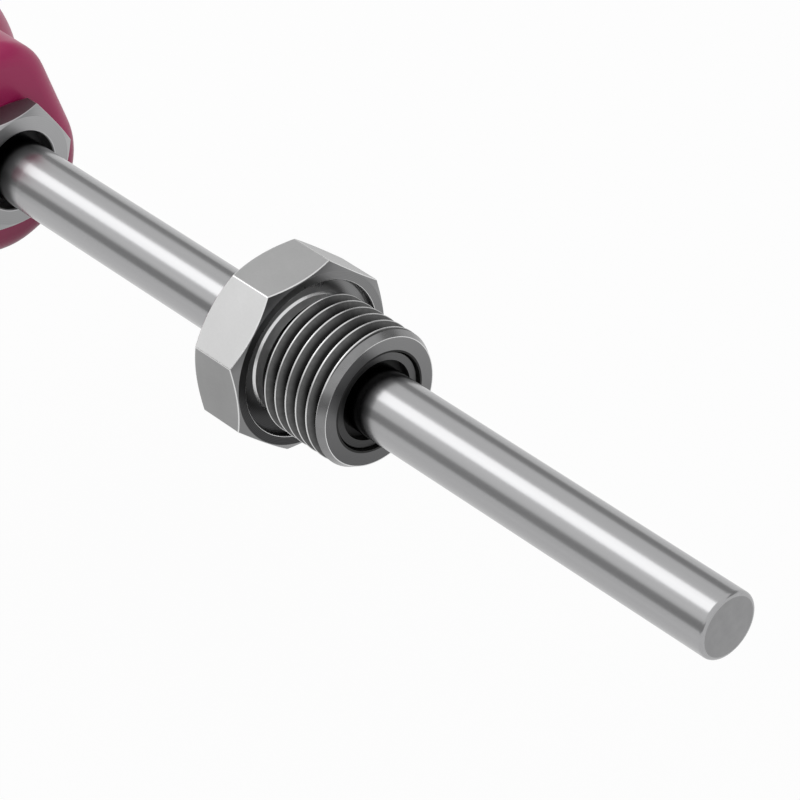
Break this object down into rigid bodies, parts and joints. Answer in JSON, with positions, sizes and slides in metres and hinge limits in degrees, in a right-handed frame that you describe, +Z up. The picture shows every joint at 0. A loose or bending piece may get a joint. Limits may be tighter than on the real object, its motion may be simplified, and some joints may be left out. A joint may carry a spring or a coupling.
{
  "type": "temperature transmitter",
  "caption": "Screw-in temperature transmitter: steel probe stem, flat-sided pipe-thread fitting, neck nut and a painted round head with a screw cap and a cable gland.",
  "frame": {"origin": "on the stem's axis, in the plane of the process fitting's sealing face", "axes": "+X along the stem towards its tip, +Z up, the cable gland points along -Y"},
  "size_m": [0.2173, 0.0672, 0.0446],
  "materials": {
    "stem_steel": "polished drawn tube",
    "ceramic": "matt",
    "wire_metal": "tinned",
    "fitting_steel": "turned, with milled flats",
    "bush_steel": "turned",
    "nut_steel": "turned",
    "seal_rubber": "matt",
    "head_paint": "smooth satin coat",
    "module_plastic": "fine matt",
    "screw_steel": "plated",
    "terminal_brass": "plain",
    "gland_plastic": "fine matt",
    "slip_plastic": "plain"
  },
  "bodies": {
    "head": {"sheath_tube": "stem_steel", "sensor_element": "ceramic", "insulator_rod": "ceramic", "lead_wires": "wire_metal", "process_fitting": "fitting_steel", "fitting_bush": "bush_steel", "neck_nut": "nut_steel", "stem_seal": "seal_rubber", "stem_ferrule": "nut_steel", "head_body": "head_paint", "transmitter_module": "module_plastic", "module_screws": "screw_steel", "terminal_clamps": "terminal_brass", "terminal_screws": "screw_steel", "ground_clamp": "terminal_brass", "ground_screw": "screw_steel", "gland_washer": "seal_rubber", "gland_body": "gland_plastic", "gland_seal": "seal_rubber"},
    "cap_seal": {"cap_seal": "seal_rubber"},
    "cap": {"head_cap": "head_paint"},
    "gland_slip_washer": {"gland_slip_washer": "slip_plastic"},
    "gland_nut": {"gland_nut": "gland_plastic"}
  },
  "joints": [
    {"name": "cap_lift", "type": "slide", "parent": "head", "child": "cap_seal", "axis": [-1, 0, 0], "range_m": [0, 0.006]},
    {"name": "cap_turn", "type": "hinge", "parent": "cap_seal", "child": "cap", "pos_m": [-0.13, 0, 0], "axis": [-1, 0, 0], "range_deg": [0, 1440]},
    {"name": "gland_lift", "type": "slide", "parent": "head", "child": "gland_slip_washer", "axis": [0, -1, 0], "range_m": [0, 0.00225]},
    {"name": "gland_turn", "type": "hinge", "parent": "gland_slip_washer", "child": "gland_nut", "pos_m": [-0.11, -0.04, 0], "axis": [0, -1, 0], "range_deg": [0, 540]}
  ],
  "couplings": [
    {"joint": "cap_lift", "follows": "cap_turn", "m_per_rad": 0.00023873},
    {"joint": "gland_turn", "follows": "gland_lift", "rad_per_m": 4188.8}
  ]
}
